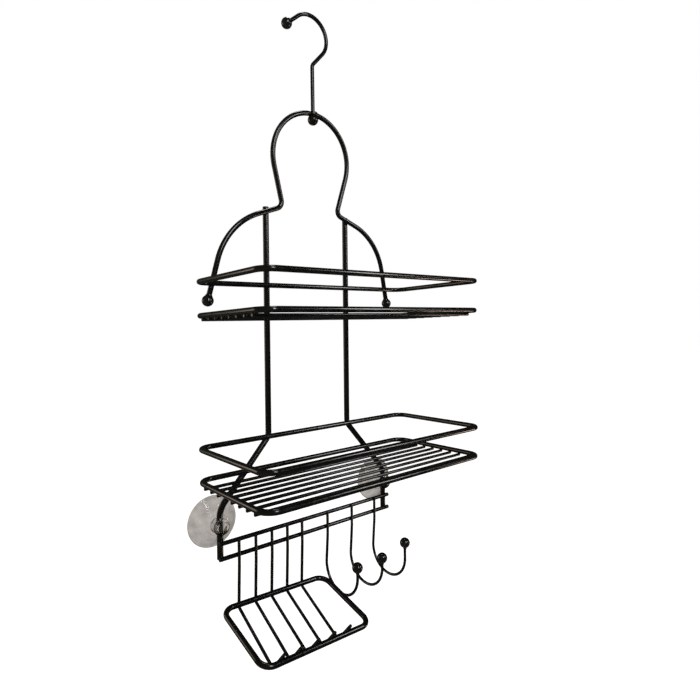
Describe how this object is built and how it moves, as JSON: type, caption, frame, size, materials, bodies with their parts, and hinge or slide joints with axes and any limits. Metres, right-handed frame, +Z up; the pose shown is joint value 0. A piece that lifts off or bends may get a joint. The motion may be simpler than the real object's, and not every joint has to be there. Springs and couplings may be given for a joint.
{
  "type": "shower caddy",
  "caption": "Hanging wire shower caddy: swivel hook, two railed wire shelves one above the other, sloping soap dish and ball-tipped hooks below, with clear suction cups.",
  "frame": {"origin": "the point on the inner side of the hanger hook's bend, straight above the stem, that rests on the shower pipe", "axes": "+X the viewer's right, -Y the front, +Y towards the wall, +Z up along the stem"},
  "size_m": [0.2606, 0.1442, 0.619],
  "materials": {
    "coated_wire": "glossy black powder coat on steel wire",
    "ball_cap": "glossy black",
    "clear_vinyl": "clear, slightly smoky soft vinyl"
  },
  "bodies": {
    "hanger": {"hanger_hook": "coated_wire", "hook_tip_ball": "ball_cap", "swivel_ball": "coated_wire"},
    "caddy": {"left_shoulder_ball": "ball_cap", "left_upright": "coated_wire", "lower_floor_rim": "coated_wire", "lower_floor_wire_1": "coated_wire", "lower_floor_wire_2": "coated_wire", "lower_floor_wire_3": "coated_wire", "lower_floor_wire_4": "coated_wire", "lower_floor_wire_5": "coated_wire", "lower_floor_wire_6": "coated_wire", "lower_floor_wire_7": "coated_wire", "lower_floor_wire_8": "coated_wire", "lower_rail": "coated_wire", "rack_bottom_bar": "coated_wire", "rack_top_bar": "coated_wire", "right_shoulder_ball": "ball_cap", "right_upright": "coated_wire", "soap_dish_rim": "coated_wire", "soap_dish_wire_1": "coated_wire", "soap_dish_wire_2": "coated_wire", "soap_dish_wire_3": "coated_wire", "soap_dish_wire_4": "coated_wire", "soap_dish_wire_5": "coated_wire", "top_frame": "coated_wire", "upper_floor_rim": "coated_wire", "upper_floor_wire_1": "coated_wire", "upper_floor_wire_2": "coated_wire", "upper_floor_wire_3": "coated_wire", "upper_floor_wire_4": "coated_wire", "upper_floor_wire_5": "coated_wire", "upper_floor_wire_6": "coated_wire", "upper_floor_wire_7": "coated_wire", "upper_floor_wire_8": "coated_wire", "upper_rail": "coated_wire", "utility_hook_1": "coated_wire", "utility_hook_2": "coated_wire", "utility_hook_3": "coated_wire", "utility_hook_ball_1": "ball_cap", "utility_hook_ball_2": "ball_cap", "utility_hook_ball_3": "ball_cap"},
    "left_cup": {"left_suction_cup": "clear_vinyl"},
    "right_cup": {"right_suction_cup": "clear_vinyl"}
  },
  "joints": [
    {"name": "stem_swivel", "type": "hinge", "parent": "hanger", "child": "caddy", "pos_m": [0, 0, -0.0986], "axis": [0, 0, 1], "continuous": true},
    {"name": "left_cup_turn", "type": "hinge", "parent": "caddy", "child": "left_cup", "pos_m": [-0.1046, 0.01382, -0.503], "axis": [0, 0, 1], "range_deg": [-30, 30]},
    {"name": "right_cup_turn", "type": "hinge", "parent": "caddy", "child": "right_cup", "pos_m": [0.1046, 0.01382, -0.503], "axis": [0, 0, 1], "range_deg": [-30, 30]}
  ]
}
